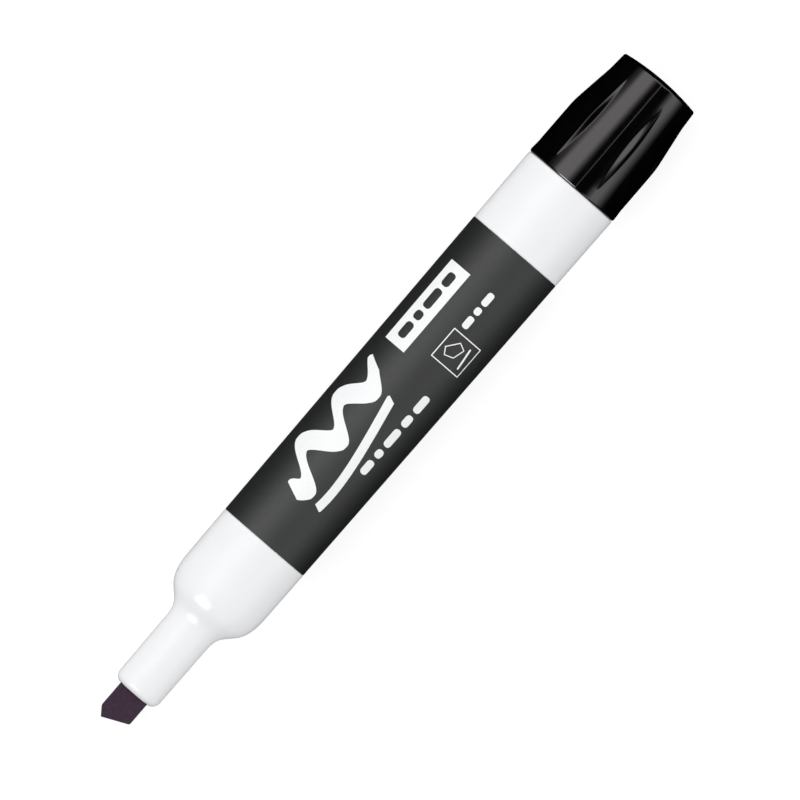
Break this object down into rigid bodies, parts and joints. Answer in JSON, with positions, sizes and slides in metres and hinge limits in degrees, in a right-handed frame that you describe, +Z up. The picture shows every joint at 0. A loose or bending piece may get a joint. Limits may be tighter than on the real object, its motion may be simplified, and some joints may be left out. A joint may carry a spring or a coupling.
{
  "type": "whiteboard marker",
  "caption": "Whiteboard marker with a slanted chisel nib, a tapered round barrel with a dark label, and a ribbed cap pushed onto a post at its rear end.",
  "frame": {"origin": "under the middle of the posted marker, on the surface that it lies on", "axes": "+X along the marker from the nib towards the closed end of the cap, +Z up out of the nib's broad face"},
  "size_m": [0.1328, 0.0172, 0.0172],
  "materials": {
    "white_plastic": "gloss",
    "label_film": "satin printed film",
    "print_ink": "white print on the label",
    "nib_felt": "inked pressed felt",
    "inked_fibre": "ink-soaked fibre",
    "wrap_film": "thin film",
    "plug_plastic": "moulded",
    "cap_plastic": "gloss",
    "seal_plastic": "soft moulded"
  },
  "bodies": {
    "barrel": {"barrel": "white_plastic", "label": "label_film", "nib": "nib_felt", "reservoir_core": "inked_fibre", "reservoir_wrap": "wrap_film", "rear_plug": "plug_plastic"},
    "cap": {"cap_shell": "cap_plastic", "cap_seal": "seal_plastic"}
  },
  "joints": [
    {"name": "cap_pull", "type": "slide", "parent": "barrel", "child": "cap", "axis": [1, 0, 0], "range_m": [0, 0.03]}
  ]
}
